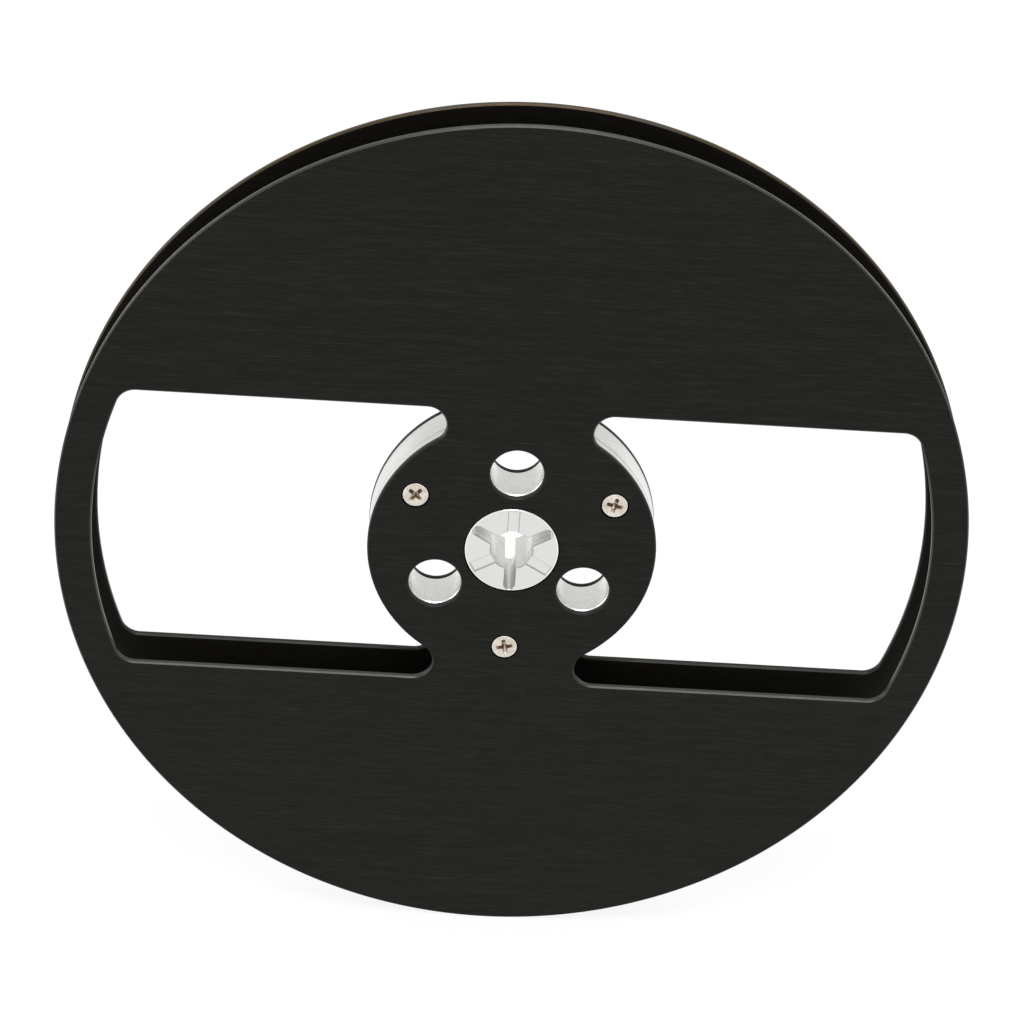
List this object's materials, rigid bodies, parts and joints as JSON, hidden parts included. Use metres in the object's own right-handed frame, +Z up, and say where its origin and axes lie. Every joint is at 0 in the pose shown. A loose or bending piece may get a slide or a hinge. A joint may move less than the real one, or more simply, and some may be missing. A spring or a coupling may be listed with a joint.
{
  "type": "open-reel tape reel",
  "caption": "Empty take-up reel for open-reel tape: black windowed flanges screwed to a machined aluminium hub with a slotted spindle bore.",
  "frame": {"origin": "centre of the spindle bore, halfway through the reel's width", "axes": "+Y along the spindle from the front flange to the rear flange, +Z up, the windows at +X and -X"},
  "size_m": [0.178, 0.012, 0.178],
  "materials": {
    "anodised_flange": "black anodised over straight brushed lines, satin",
    "machined_hub": "fine turned and milled, bright satin",
    "nickel_screw": "nickel plated, slightly warm"
  },
  "bodies": {
    "root": {"front_flange": "anodised_flange", "rear_flange": "anodised_flange", "hub": "machined_hub", "front_screw_1": "nickel_screw", "front_screw_2": "nickel_screw", "front_screw_3": "nickel_screw", "rear_screw_1": "nickel_screw", "rear_screw_2": "nickel_screw", "rear_screw_3": "nickel_screw"}
  },
  "joints": []
}
